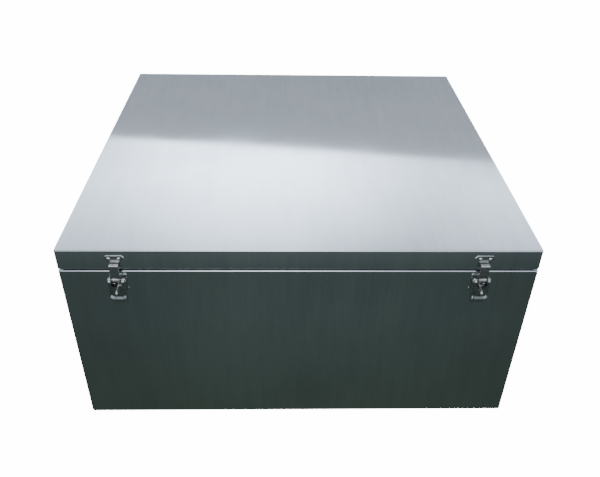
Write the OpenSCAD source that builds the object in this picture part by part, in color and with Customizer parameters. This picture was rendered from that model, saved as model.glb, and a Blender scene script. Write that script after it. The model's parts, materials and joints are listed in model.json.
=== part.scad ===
// Insulated milk delivery box of folded sheet steel: a double walled case, a plug lid on a
// full width rolled knuckle hinge, and two over-centre toggle latches with padlock staples.
// The box stands on z = 0 with its front towards -Y. All sizes are in millimetres.

/* [Box] */
// Width of the box across the front
case_w = 600; // [420:10:900]
// Depth of the box from the front face to the back face
case_d = 600; // [420:10:900]
// Height of the case up to the top of its rim
case_h = 256; // [180:0.5:420]
// Height of the lid's outer walls
lid_h = 28.6; // [26:0.2:60]
// Open line between the case rim and the lid
parting = 1.9; // [1.7:0.1:2.6]

/* [Sheet] */
// Thickness of the outer sheet
sheet_t = 1; // [0.8:0.1:1.3]
// Thickness of the liner sheet
liner_t = 0.8; // [0.6:0.1:1.2]
// Outer radius of the upright corners
corner_r = 3; // [2.6:0.1:8]
// Outer radius of the folds along the case rim and the lid's edges
fold_r = 1.5; // [1.3:0.1:2.4]
// Inner radius of the fold round the base sheet
base_bend_r = 0.4; // [0.1:0.1:0.6]
// Width of the rim that is folded inwards at the top of the case
rim_w = 22; // [20:0.5:23]
// Width of the return that is folded inwards under the case
foot_w = 16; // [10:1:30]
// Width of the return that is folded inwards under the lid's walls
lid_return_w = 24; // [22:0.5:25]
// Height of the turned up edge of the base sheet
base_edge_h = 14; // [6:1:40]

/* [Insulation] */
// Thickness of the foam in the walls and the floor
foam_t = 20.4; // [19:0.2:40]
// Clearance between the foam and the sheets that hold it
foam_clear = 0.2; // [0.1:0.1:0.6]

/* [Liner] */
// Outer radius of the liner's upright corners
liner_corner_r = 10; // [7:0.5:30]
// Outer radius of the fold round the liner's floor
liner_floor_r = 6; // [3:0.5:7]
// Inner radius of the fold between the liner's walls and its flange
liner_lip_r = 1.2; // [0.8:0.1:2]
// Width of the liner's flange under the case rim
liner_flange_w = 15; // [12:0.5:17]
// Gap between the lid's plug and the liner
plug_clear = 3; // [2:0.5:8]
// Depth of the plug below the lid's walls
plug_drop = 9.4; // [6:0.2:20]

/* [Seal] */
// Distance of the seal from the lid's outer faces
seal_inset = 5; // [4:0.5:8]
// Width of the seal
seal_w = 10; // [6:0.5:12]
// Clearance between the seal and the case rim
seal_clear = 0.4; // [0.3:0.1:0.6]

/* [Hinge] */
// Length of the hinge along the back
hinge_len = 560; // [300:10:860]
// Number of knuckles, odd so that the case leaf has both ends
knuckle_count = 23; // [9:2:31]
// Gap between neighbouring knuckles
knuckle_gap = 0.4; // [0.3:0.1:1]
// Radius of the hinge pin
hinge_pin_r = 1.25; // [1:0.05:1.4]
// Radial clearance of every turning pin
pin_fit = 0.05; // [0.02:0.01:0.1]
// Thickness of the hinge leaves
leaf_t = 1.2; // [1:0.1:1.4]
// Height of each leaf below or above the knuckles
leaf_h = 18; // [15:0.5:20]
// Number of rivets in each leaf
leaf_rivet_count = 12; // [4:1:16]

/* [Rivets] */
// Radius of a rivet's round head
rivet_head_r = 2.2; // [1.8:0.1:2.6]
// Height of a rivet's round head
rivet_head_h = 0.9; // [0.6:0.1:1]
// Radius of a rivet's shank
rivet_shank_r = 1.5; // [1:0.1:1.7]
// Height of the flattened tail behind the sheets
rivet_tail_h = 0.9; // [0.5:0.1:1]
// Radial clearance of a rivet in its hole
rivet_fit = 0.05; // [0.02:0.01:0.1]
// Number of rivets along each side of the case rim
rim_rivet_count = 4; // [2:1:8]

/* [Latch] */
// Distance of each latch from the middle of the box
latch_x = 228.5; // [120:0.5:260]
// Width of the latch's base and of its lever
latch_w = 20; // [19:0.5:26]
// Thickness of the base and the keeper
latch_t = 1.2; // [1:0.1:1.3]
// Thickness of the lever and the link
link_t = 1; // [0.8:0.1:1.1]
// Width of the link
link_w = 12.4; // [11:0.2:12.8]
// Width of the claw at the link's upper end and of the keeper's lip
claw_w = 11.2; // [9:0.2:11.6]
// Distance of the lever's pivot from the front face
pivot_out = 5.2; // [5:0.1:5.6]
// Distance of the lever's pivot below the case rim
pivot_drop = 10; // [9:0.5:14]
// Radius of the lever's pivot pin
pivot_r = 1.25; // [1:0.05:1.3]
// Radius of the link's pin
link_pin_r = 1; // [0.8:0.05:1.05]
// Distance of the link's pin below the pivot when the latch is shut
throw_down = 4; // [3.9:0.1:4.3]
// Distance of the link's pin behind the pivot when the latch is shut
over_centre = 1.2; // [0.9:0.1:1.3]
// Length of the lever from its pivot to its lower edge
lever_len = 27.2; // [26:0.2:34]
// Distance of the lever's front plate from the front face
lever_out = 7.8; // [7.6:0.1:8.4]
// Depth of the finger lip in front of the lever
finger_lip = 2.7; // [2:0.1:5]
// Length of the base plate below the lever
base_tail = 12.8; // [11:0.2:20]

/* [Keeper] */
// Height of the keeper's lip above the lower edge of the lid
lip_rise = 9.5; // [9:0.1:12]
// Distance of the lip's inner face from the front face
lip_out = 5.4; // [5.2:0.1:5.6]
// Distance of the keeper's upper edge above its lip
keeper_head = 11.4; // [10.6:0.1:12]
// Width of the keeper across its wings
keeper_w = 26; // [23:0.5:32]
// Clearance over the lip inside the claw
claw_over = 0.55; // [0.5:0.05:0.8]
// Clearance between the lip and the link in front of it
claw_front = 0.4; // [0.3:0.05:0.5]
// Clearance between the claw's tip and the lip
claw_behind = 1.9; // [1.8:0.1:2]
// Depth of the claw's tip behind the lip
claw_hold = 1.3; // [0.8:0.1:1.4]

/* [Staple] */
// Thickness of the padlock staple
staple_t = 1.5; // [1.2:0.1:2]
// Radius of the padlock hole
staple_hole_r = 2; // [1.5:0.1:2.4]
// Wall round the padlock hole
staple_wall = 1.6; // [1.2:0.1:2]
// Distance of the padlock hole from the front face
staple_out = 12; // [11.8:0.1:14]
// Distance of the padlock hole below the lever's pivot
staple_drop = 15.8; // [15.6:0.1:16.4]

/* [Hidden] */

$fn = 64;

// Steps in each bend of the small latch parts
bend_steps = 6;
// Extra length of a cutting tool past the sheet that it cuts
past = 1;
// A length greater than that of any latch part, for its outlines
reach = 60;
// Radius of a square edge that is only just broken
broken = 0.1;
// Distance of a rivet's head from the edge of its sheet
rivet_edge = 1;
// Gap between a leaf's plate and the knuckles of the other leaf
leaf_gap = 0.35;

// How far the staples stand out in front and the knuckles behind
front_reach = staple_out + staple_hole_r + staple_wall;
knuckle_r = hinge_pin_r + pin_fit + leaf_t;
back_reach = 2 * knuckle_r;
// Front and back faces, placed so that the origin is under the middle of the whole
front_y = front_reach - (case_d + front_reach + back_reach) / 2;
back_y = front_y + case_d;
mid_y = (front_y + back_y) / 2;

// Heights
lid_z = case_h + parting;
top_z = lid_z + lid_h;
base_z = sheet_t;
foam_z = base_z + sheet_t + foam_clear;
liner_z = foam_z + foam_t + foam_clear;
liner_flange_z = case_h - sheet_t - liner_t;
liner_wall_z = liner_flange_z - liner_lip_r;
foam_h = liner_wall_z - foam_clear - foam_z;
plug_z = lid_z - plug_drop;
lid_flange_z = lid_z + sheet_t;

// Distances inwards from the outer faces
base_in = sheet_t + foam_clear;
foam_in = 2 * base_in;
liner_in = foam_in + foam_t + foam_clear;
plug_in = liner_in + liner_t + plug_clear;
rim_rivet_in = rim_w - rivet_head_r - rivet_edge;
lid_rivet_in = lid_return_w - rivet_head_r - rivet_edge;

// Outer radii of the base sheet's fold and of its corners, and radius of the foam's corners
base_fold = base_bend_r + sheet_t;
base_corner = max(corner_r - base_in, base_fold);
foam_corner = max(base_corner - base_in, broken);

// Hinge
hinge_y = back_y + knuckle_r;
hinge_z = case_h + parting / 2;
knuckle_pitch = hinge_len / knuckle_count;
leaf_edge = knuckle_r + leaf_gap;

// Latch, in a frame of x, distance out from the front face, and height
pivot_z = case_h - pivot_drop;
link_pin_out = pivot_out - over_centre;
link_pin_z = pivot_z - throw_down;
lip_z = lid_z + lip_rise;
lever_z = pivot_z - lever_len;
flange_x = (latch_w - link_t) / 2;
// Gap between the base's ears and the lever's flanges
ear_clear = 0.3;
ear_x = flange_x - (link_t + latch_t) / 2 - ear_clear;
// Radii of the rounds about the pivot on the ears and on the flanges
ear_r = 2.3;
eye_r = 2.4;
barrel_r = link_pin_r + pin_fit + link_t;
link_out = lip_out + latch_t + claw_front;
claw_top_z = lip_z + claw_over;
web_c = lever_out + link_t / 2;
staple_z = pivot_z - staple_drop;
staple_eye_r = staple_hole_r + staple_wall;
// Distances of the rivets from the middle of the latch
foot_rivet_x = 4.1;
base_rivet_x = 5;
keeper_rivet_x = 6.2;
// Gap between the link's barrel and the base's upper rivets
barrel_gap = 1.5;
// Distance of the keeper's rivets below its upper edge
keeper_rivet_drop = 4;
// Width and height of the lever's cut corners
cut_w = 4;
cut_h = 2.8;
// Radius and height of the heads on the lever's pivot and on the link's pin
pivot_head_r = 1.9;
pivot_head_h = 0.7;
pin_head_r = 1.5;
pin_head_h = 0.5;

// Both latches stand the same way round
sides = [-1, 1];

// Plane outlines

function xy(p) = [p.x, p.y];
function unit(v) = v / norm(v);
function turned(v, a) = [v.x * cos(a) - v.y * sin(a), v.x * sin(a) + v.y * cos(a)];
function reversed(p) = [for (i = [len(p) - 1:-1:0]) p[i]];

// Points of a round of radius r at the corner b of the line a, b, c
function corner(a, b, c, r) =
    let(
        u = unit(a - b),
        v = unit(c - b),
        half = acos(u * v) / 2,
        middle = b + unit(u + v) * r / sin(half),
        from = b + u * r / tan(half) - middle,
        to = b + v * r / tan(half) - middle,
        turn = sign(cross(from, to)) * (180 - 2 * half)
    )
    r <= 0 ? [b] : [for (i = [0:bend_steps]) middle + turned(from, turn * i / bend_steps)];

// An open line through points [x, y, bend radius]
function bent(p) = [
    for (i = [0:len(p) - 1])
        each (i == 0 || i == len(p) - 1)
            ? [xy(p[i])]
            : corner(xy(p[i - 1]), xy(p[i]), xy(p[i + 1]), p[i].z)
];

// A closed outline through points [x, y, corner radius]
function rounded(p) = [
    for (i = [0:len(p) - 1])
        each corner(
            xy(p[(i + len(p) - 1) % len(p)]), xy(p[i]), xy(p[(i + 1) % len(p)]), p[i].z
        )
];

// A line moved sideways by a distance, with mitred corners
function beside(p, off) = [
    for (i = [0:len(p) - 1])
        let(
            u = i > 0 ? unit(p[i] - p[i - 1]) : unit(p[1] - p[0]),
            v = i < len(p) - 1 ? unit(p[i + 1] - p[i]) : u,
            m = unit(u + v)
        )
        p[i] + off / (m * u) * [-m.y, m.x]
];

// Edge view of a bent sheet of thickness t whose middle follows a line
module folded(p, t) {
    line = bent(p);
    polygon(concat(beside(line, t / 2), reversed(beside(line, -t / 2))));
}

// Rectangle about the middle with true round corners
module round_rect(w, d, r) {
    square([w - 2 * r, d], center = true);
    square([w, d - 2 * r], center = true);
    for (sx = sides, sy = sides)
        translate([sx * (w / 2 - r), sy * (d / 2 - r)]) circle(r);
}

// Plan of the box drawn in by a distance, with its corner radius
module plan(inset, r) {
    translate([0, mid_y]) round_rect(case_w - 2 * inset, case_d - 2 * inset, r);
}

// A band round the box between two distances from its faces
module band(z, h, inset, width, r_out, r_in) {
    translate([0, 0, z])
        linear_extrude(h)
            difference() {
                plan(inset, r_out);
                plan(inset + width, r_in);
            }
}

// Carries a profile round the plan: its x is measured from the centre of the upright corners
module carried_round(z, inset, r) {
    half_w = case_w / 2 - inset;
    half_d = case_d / 2 - inset;
    for (i = [0:3]) {
        along = i % 2 == 0 ? half_d - r : half_w - r;
        out = i % 2 == 0 ? half_w - r : half_d - r;
        translate([0, mid_y, z])
            rotate([0, 0, 90 * i]) {
                translate([out, 0, 0])
                    rotate([90, 0, 0]) linear_extrude(2 * along, center = true) children();
                translate([out, along, 0]) rotate_extrude(angle = 90) children();
            }
    }
}

// Quarter of a bend: out and up are +1 or -1 for the corner that the round faces
module quarter(r_out, t, out, up) {
    scale_x = out > 0 ? 0 : 1;
    scale_y = up > 0 ? 0 : 1;
    intersection() {
        difference() {
            circle(r_out);
            circle(r_out - t);
        }
        translate([-scale_x * r_out, -scale_y * r_out]) square(r_out);
    }
}

// Rivets

// Round head upwards from z = 0, tail below the sheets that it grips
module rivet(grip) {
    ball = (pow(rivet_head_r, 2) + pow(rivet_head_h, 2)) / (2 * rivet_head_h);
    intersection() {
        translate([0, 0, rivet_head_h - ball]) sphere(ball);
        cylinder(r = rivet_head_r + past, h = rivet_head_h + past);
    }
    translate([0, 0, -grip]) cylinder(r = rivet_shank_r, h = grip);
    translate([0, 0, -grip - rivet_tail_h])
        cylinder(r = rivet_head_r, h = rivet_tail_h);
}

// Hole for a rivet, from a little above z = 0 down
module rivet_hole(depth) {
    translate([0, 0, -depth - past])
        cylinder(r = rivet_shank_r + rivet_fit, h = depth + 2 * past);
}

// Places along one side of the box, evenly spaced, half a step from its ends
function spread(length, count) = [for (i = [0:count - 1]) length * ((i + 0.5) / count - 0.5)];

// Rivets or holes along the four sides at a distance in from the faces
module on_all_sides(z, inset, count) {
    for (i = [0:3]) {
        length = (i % 2 == 0 ? case_d : case_w) - 2 * inset;
        out = (i % 2 == 0 ? case_w : case_d) / 2 - inset;
        for (place = spread(length, count))
            translate([0, mid_y, z]) rotate([0, 0, 90 * i]) translate([out, place, 0]) children();
    }
}

// Rivets or holes in a hinge leaf, pointing out of the back
module on_leaf(z) {
    for (x = spread(hinge_len, leaf_rivet_count))
        translate([x, back_y + leaf_t, z]) rotate([-90, 0, 0]) children();
}

// Children at both latches or at one of them, pointing out of the front
module on_front(x, out, z) {
    translate([x, front_y - out, z]) rotate([90, 0, 0]) children();
}

base_rivets = [
    [-base_rivet_x, lever_z - base_tail / 2, latch_t],
    [base_rivet_x, lever_z - base_tail / 2, latch_t],
    [-base_rivet_x, link_pin_z - barrel_r - rivet_head_r - barrel_gap, latch_t],
    [base_rivet_x, link_pin_z - barrel_r - rivet_head_r - barrel_gap, latch_t],
    [foot_rivet_x, staple_z, 2 * latch_t]
];
keeper_rivet_z = lip_z + keeper_head - keeper_rivet_drop;
case_leaf_rivet_z = hinge_z - leaf_edge - leaf_h / 2;
lid_leaf_rivet_z = hinge_z + leaf_edge + leaf_h / 2;

// Case

// Four walls with the rim folded in at the top and a return folded in underneath
module case_shell() {
    color("slategray")
        difference() {
            union() {
                band(fold_r, case_h - 2 * fold_r, 0, sheet_t, corner_r, corner_r - sheet_t);
                carried_round(case_h - fold_r, 0, corner_r)
                    translate([corner_r - fold_r, 0]) quarter(fold_r, sheet_t, 1, 1);
                carried_round(fold_r, 0, corner_r)
                    translate([corner_r - fold_r, 0]) quarter(fold_r, sheet_t, 1, -1);
                band(
                    case_h - sheet_t, sheet_t, fold_r, rim_w - fold_r,
                    corner_r - fold_r, liner_corner_r
                );
                band(0, sheet_t, fold_r, foot_w - fold_r, corner_r - fold_r, liner_corner_r);
            }
            on_all_sides(case_h, rim_rivet_in, rim_rivet_count) rivet_hole(sheet_t);
            on_leaf(case_leaf_rivet_z) rivet_hole(leaf_t + sheet_t);
            for (s = sides, r = base_rivets)
                on_front(s * latch_x + r[0], r[2], r[1]) rivet_hole(r[2] + sheet_t);
        }
}

// Floor sheet that lies on the return, with its edges turned up
module base_pan() {
    flat_r = max(base_corner - base_fold, broken);
    color("dimgray") {
        translate([0, 0, base_z]) linear_extrude(sheet_t) plan(base_in + base_fold, flat_r);
        carried_round(base_z + base_fold, base_in, base_corner)
            translate([base_corner - base_fold, 0]) quarter(base_fold, sheet_t, 1, -1);
        band(
            base_z + base_fold, base_edge_h - base_fold, base_in, sheet_t,
            base_corner, base_corner - sheet_t
        );
    }
}

// Inner tray with a flange under the rim
module liner() {
    color("lightgray")
        difference() {
            tray(liner_z, liner_flange_z, liner_in, liner_corner_r, liner_flange_w);
            on_all_sides(case_h, rim_rivet_in, rim_rivet_count)
                rivet_hole(sheet_t + liner_t);
        }
}

// A tray of liner sheet: floor, floor fold, walls, upper fold and flange
module tray(z, flange_z, inset, r, flange_w) {
    fold = liner_floor_r;
    lip = liner_lip_r + liner_t;
    translate([0, 0, z]) linear_extrude(liner_t) plan(inset + fold, r - fold);
    carried_round(z + fold, inset, r)
        translate([r - fold, 0]) quarter(fold, liner_t, 1, -1);
    band(z + fold, flange_z + liner_t - lip - z - fold, inset, liner_t, r, r - liner_t);
    carried_round(flange_z + liner_t - lip, inset, r)
        translate([r + liner_lip_r, 0]) quarter(lip, liner_t, -1, 1);
    band(
        flange_z, liner_t, inset - liner_lip_r - flange_w, flange_w,
        r + liner_lip_r, r + liner_lip_r
    );
}

// Foam board along the front or the back wall, the full width of the box
module foam_long(y) {
    color("wheat")
        translate([0, 0, foam_z])
            linear_extrude(foam_h)
                intersection() {
                    plan(foam_in, foam_corner);
                    translate([-case_w / 2, y]) square([case_w, foam_t]);
                }
}

// Foam board along a side wall, between the long boards
module foam_short(x) {
    start = front_y + foam_in + foam_t + foam_clear;
    color("wheat")
        translate([x, start, foam_z])
            cube([foam_t, back_y - foam_in - foam_t - foam_clear - start, foam_h]);
}

module insulation_front() {
    foam_long(front_y + foam_in);
}

module insulation_back() {
    foam_long(back_y - foam_in - foam_t);
}

module insulation_left() {
    foam_short(-case_w / 2 + foam_in);
}

module insulation_right() {
    foam_short(case_w / 2 - foam_in - foam_t);
}

// Foam board under the liner's floor, between the wall boards
module insulation_base() {
    inset = foam_in + foam_t + foam_clear;
    color("wheat") translate([0, 0, foam_z]) linear_extrude(foam_t) plan(inset, broken);
}

module rim_rivets() {
    color("silver")
        on_all_sides(case_h, rim_rivet_in, rim_rivet_count) rivet(sheet_t + liner_t);
}

// Hinge

// Knuckles of one leaf: every second place, starting at first
module knuckles(first, way) {
    for (i = [first:2:knuckle_count - 1]) {
        x = -hinge_len / 2 + knuckle_pitch * i + knuckle_gap / 2;
        translate([x, hinge_y, hinge_z])
            rotate([90, 0, 90])
                linear_extrude(knuckle_pitch - knuckle_gap)
                    difference() {
                        union() {
                            circle(knuckle_r);
                            translate([-knuckle_r, way > 0 ? 0 : -leaf_edge])
                                square([leaf_t, leaf_edge]);
                        }
                        circle(hinge_pin_r + pin_fit);
                    }
    }
}

// Leaf on the back face: way is +1 for the lid's leaf and -1 for the case's
module leaf(first, way, rivet_z) {
    color("silver")
        difference() {
            union() {
                knuckles(first, way);
                translate([
                    -hinge_len / 2, back_y,
                    way > 0 ? hinge_z + leaf_edge : hinge_z - leaf_edge - leaf_h
                ])
                    cube([hinge_len, leaf_t, leaf_h]);
            }
            on_leaf(rivet_z) rivet_hole(leaf_t);
        }
}

module hinge_leaf_case() {
    leaf(0, -1, case_leaf_rivet_z);
}

module hinge_leaf_lid() {
    leaf(1, 1, lid_leaf_rivet_z);
}

module hinge_rivets_case() {
    color("silver") on_leaf(case_leaf_rivet_z) rivet(leaf_t + sheet_t);
}

module hinge_rivets_lid() {
    color("silver") on_leaf(lid_leaf_rivet_z) rivet(leaf_t + sheet_t);
}

module hinge_pin() {
    color("gray")
        translate([-hinge_len / 2, hinge_y, hinge_z])
            rotate([0, 90, 0]) cylinder(r = hinge_pin_r, h = hinge_len);
}

// Lid

// Top sheet, walls and the return folded in under them
module lid_pan() {
    color("lightsteelblue")
        difference() {
            union() {
                translate([0, 0, top_z - sheet_t])
                    linear_extrude(sheet_t) plan(fold_r, corner_r - fold_r);
                carried_round(top_z - fold_r, 0, corner_r)
                    translate([corner_r - fold_r, 0]) quarter(fold_r, sheet_t, 1, 1);
                band(
                    lid_z + fold_r, lid_h - 2 * fold_r, 0, sheet_t,
                    corner_r, corner_r - sheet_t
                );
                carried_round(lid_z + fold_r, 0, corner_r)
                    translate([corner_r - fold_r, 0]) quarter(fold_r, sheet_t, 1, -1);
                band(
                    lid_z, sheet_t, fold_r, lid_return_w - fold_r,
                    corner_r - fold_r, liner_corner_r
                );
            }
            lid_rivet_places() rivet_hole(sheet_t);
            on_leaf(lid_leaf_rivet_z) rivet_hole(leaf_t + sheet_t);
            for (s = sides, k = sides)
                on_front(s * latch_x + k * keeper_rivet_x, latch_t, keeper_rivet_z)
                    rivet_hole(latch_t + sheet_t);
        }
}

// Places of the rivets under the lid, between those of the rim
module lid_rivet_places() {
    on_all_sides(lid_z, lid_rivet_in, rim_rivet_count - 1) rotate([180, 0, 0]) children();
}

// Plug tray whose flange lies on the lid's return
module lid_liner() {
    color("lightgray")
        difference() {
            tray(
                plug_z, lid_flange_z, plug_in, liner_corner_r,
                plug_in - liner_lip_r - seal_inset
            );
            lid_rivet_places() rivet_hole(sheet_t + liner_t);
        }
}

// Foam in the plug and in the lid, one board with a step
module lid_insulation() {
    step_z = lid_flange_z + liner_t + rivet_tail_h + foam_clear;
    floor_z = plug_z + liner_t + foam_clear;
    inset = plug_in + liner_floor_r;
    color("wheat") {
        translate([0, 0, floor_z])
            linear_extrude(step_z - floor_z) plan(inset, liner_corner_r - liner_floor_r);
        translate([0, 0, step_z])
            linear_extrude(top_z - sheet_t - foam_clear - step_z) plan(foam_in, foam_corner);
    }
}

// Flat rubber seal under the lid's return
module lid_seal() {
    color("dimgray")
        band(
            case_h + seal_clear, parting - seal_clear, seal_inset, seal_w,
            corner_r, liner_corner_r
        );
}

module lid_rivets() {
    color("silver") lid_rivet_places() rivet(sheet_t + liner_t);
}

// Latch parts: each draws one latch at x = 0 against the front face

// Edge view in [out, z], w wide across the front
module across(w) {
    rotate([90, 0, -90]) linear_extrude(w, center = true) children();
}

// Front view in [x, z], from one distance out to another
module outward(from, to) {
    translate([0, -from, 0]) rotate([90, 0, 0]) linear_extrude(to - from) children();
}

// Top view in [x, out], from one height to another
module upward(from, to) {
    translate([0, 0, from]) mirror([0, 1, 0]) linear_extrude(to - from) children();
}

// A pin across the latch with a round head at each end
module cross_pin(r, out, z, half, head_r, head_h) {
    translate([0, -out, z])
        rotate([0, 90, 0]) {
            cylinder(r = r, h = 2 * half, center = true);
            for (s = sides)
                mirror([0, 0, s < 0 ? 1 : 0])
                    translate([0, 0, half]) cylinder(r1 = head_r, r2 = head_r / 2, h = head_h);
        }
}

// A hole across the latch
module cross_hole(r, out, z) {
    translate([0, -out, z]) rotate([0, 90, 0]) cylinder(r = r, h = reach, center = true);
}

// Base plate: its upper end narrows and folds out into two ears that hold the pivot
module latch_base() {
    foot_r = 3;
    shoulder_r = 1.5;
    inner_r = 0.5;
    shoulder_drop = 2.4;
    fold_c = 1.4;
    neck_in = 2;
    ear_z = pivot_z - ear_r;
    top = pivot_z + ear_r;
    neck = ear_x + latch_t / 2 - neck_in;
    neck_z = ear_z - inner_r;
    difference() {
        union() {
            outward(0, latch_t)
                polygon(rounded([
                    [-latch_w / 2, lever_z - base_tail, foot_r],
                    [latch_w / 2, lever_z - base_tail, foot_r],
                    [latch_w / 2, ear_z - shoulder_drop, shoulder_r],
                    [neck, neck_z, inner_r],
                    [neck, top, inner_r],
                    [-neck, top, inner_r],
                    [-neck, neck_z, inner_r],
                    [-latch_w / 2, ear_z - shoulder_drop, shoulder_r]
                ]));
            intersection() {
                upward(ear_z, top)
                    folded([
                        [-ear_x, pivot_out + ear_r, 0],
                        [-ear_x, latch_t / 2, fold_c],
                        [ear_x, latch_t / 2, fold_c],
                        [ear_x, pivot_out + ear_r, 0]
                    ], latch_t);
                across(reach)
                    union() {
                        translate([-past, ear_z]) square([pivot_out + past, 2 * ear_r]);
                        translate([pivot_out, pivot_z]) circle(ear_r);
                    }
            }
        }
        cross_hole(pivot_r + pin_fit, pivot_out, pivot_z);
        for (r = base_rivets)
            translate([r[0], -r[2], r[1]]) rotate([90, 0, 0]) rivet_hole(r[2] + sheet_t);
    }
}

// Staple: a foot on the base plate and a round eye that stands out through the lever
module staple() {
    foot_r = 2;
    foot = foot_rivet_x + rivet_head_r + rivet_edge;
    difference() {
        union() {
            outward(latch_t, 2 * latch_t)
                polygon(rounded([
                    [-staple_t / 2, staple_z - staple_eye_r, 0],
                    [foot, staple_z - staple_eye_r, foot_r],
                    [foot, staple_z + staple_eye_r, foot_r],
                    [-staple_t / 2, staple_z + staple_eye_r, 0]
                ]));
            across(staple_t)
                union() {
                    translate([latch_t, staple_z - staple_eye_r])
                        square([staple_out - latch_t, 2 * staple_eye_r]);
                    translate([staple_out, staple_z]) circle(staple_eye_r);
                }
        }
        cross_hole(staple_hole_r, staple_out, staple_z);
        translate([foot_rivet_x, -2 * latch_t, staple_z])
            rotate([90, 0, 0]) rivet_hole(2 * latch_t);
    }
}

// Side view of the lever's flanges in [out, z]: an eye round the pivot, a shoulder below it
// and a lower corner that is cut back towards the web
module flange_outline(back, front) {
    shoulder_drop = 3.2;
    shoulder_r = 1.5;
    rear_drop = 6;
    rear_r = 1;
    slant_rise = 11;
    slant_r = 3;
    slant_end = 2;
    polygon(rounded([
        [back, pivot_z - rear_drop, rear_r],
        [back, lever_z + slant_rise, slant_r],
        [lever_out - slant_end, lever_z, 0],
        [front + past, lever_z, 0],
        [front + past, pivot_z - shoulder_drop, shoulder_r],
        [pivot_out + eye_r, pivot_z, 0],
        [pivot_out - eye_r, pivot_z, 0]
    ]));
    translate([pivot_out, pivot_z]) circle(eye_r);
}

// Lever: a channel with two eyes at the top, a way out for the link, a slot for the staple
// and a turned out finger lip that follows the cut corners of its lower edge
module lever() {
    back_clear = 0.4;
    back = latch_t + back_clear;
    front = lever_out + link_t;
    side = flange_x + link_t / 2;
    fold_c = 0.9;
    lip_c = 1.2;
    edge_r = 1;
    low = lever_z + link_t / 2;
    way_gap = 0.5;
    way = link_w / 2 + way_gap;
    way_r = 1.5;
    way_drop = 9.5;
    slot_gap = 0.6;
    slot_low = 1.5;
    slot_x = staple_t / 2 + slot_gap;
    difference() {
        union() {
            intersection() {
                upward(lever_z, pivot_z + eye_r)
                    folded([
                        [-flange_x, back, 0],
                        [-flange_x, web_c, fold_c],
                        [flange_x, web_c, fold_c],
                        [flange_x, back, 0]
                    ], link_t);
                across(reach) flange_outline(back, front);
                outward(0, reach)
                    polygon(rounded([
                        [-side + cut_w, lever_z, edge_r],
                        [side - cut_w, lever_z, edge_r],
                        [side, lever_z + cut_h, edge_r],
                        [side, pivot_z + reach, 0],
                        [-side, pivot_z + reach, 0],
                        [-side, lever_z + cut_h, edge_r]
                    ]));
            }
            outward(lever_out, front + finger_lip)
                folded([
                    [-flange_x, low + cut_h, 0],
                    [-side + cut_w, low, lip_c],
                    [side - cut_w, low, lip_c],
                    [flange_x, low + cut_h, 0]
                ], link_t);
        }
        outward(lever_out - 2 * past, front + past)
            polygon(rounded([
                [-way, pivot_z - way_drop, way_r],
                [way, pivot_z - way_drop, way_r],
                [way, pivot_z + reach, 0],
                [-way, pivot_z + reach, 0]
            ]));
        outward(lever_out - past, front + past)
            polygon(rounded([
                [-slot_x, staple_z - staple_eye_r - slot_low, edge_r],
                [slot_x, staple_z - staple_eye_r - slot_low, edge_r],
                [slot_x, staple_z + staple_eye_r + slot_gap, edge_r],
                [-slot_x, staple_z + staple_eye_r + slot_gap, edge_r]
            ]));
        cross_hole(pivot_r + pin_fit, pivot_out, pivot_z);
        cross_hole(link_pin_r + pin_fit, link_pin_out, link_pin_z);
    }
}

// Link: rolled round its pin, past the pivot, up in front of the lip and over it as a claw
module link() {
    tip_out = lip_out - claw_behind - link_t / 2;
    front = link_out + link_t / 2;
    top = claw_top_z + link_t / 2;
    claw_bend = 0.6;
    claw_c = claw_bend + link_t / 2;
    heel_c = 1.5;
    heel_drop = 0.3;
    tail_drop = 0.2;
    neck_rise = 8;
    neck_z = pivot_z + neck_rise;
    neck_h = 2;
    neck_r = 1.5;
    window_x = 4.8;
    window_low = 0.4;
    window_top = 1;
    window_r = 1;
    difference() {
        union() {
            intersection() {
                across(link_w)
                    folded([
                        [tip_out, lip_z - claw_hold, 0],
                        [tip_out, top, claw_c],
                        [front, top, claw_c],
                        [front, pivot_z - heel_drop, heel_c],
                        [link_pin_out + barrel_r - link_t / 2, link_pin_z - tail_drop, 0]
                    ], link_t);
                outward(-past, reach)
                    polygon(rounded([
                        [-link_w / 2, link_pin_z - reach, 0],
                        [link_w / 2, link_pin_z - reach, 0],
                        [link_w / 2, neck_z, neck_r],
                        [claw_w / 2, neck_z + neck_h, neck_r],
                        [claw_w / 2, top + past, 0],
                        [-claw_w / 2, top + past, 0],
                        [-claw_w / 2, neck_z + neck_h, neck_r],
                        [-link_w / 2, neck_z, neck_r]
                    ]));
            }
            translate([0, -link_pin_out, link_pin_z])
                rotate([0, 90, 0]) cylinder(r = barrel_r, h = link_w, center = true);
        }
        outward(link_out - past, link_out + link_t + past)
            polygon(rounded([
                [-window_x, pivot_z - window_low, window_r],
                [window_x, pivot_z - window_low, window_r],
                [window_x, neck_z - window_top, window_r],
                [-window_x, neck_z - window_top, window_r]
            ]));
        cross_hole(link_pin_r + pin_fit, link_pin_out, link_pin_z);
    }
}

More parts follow.
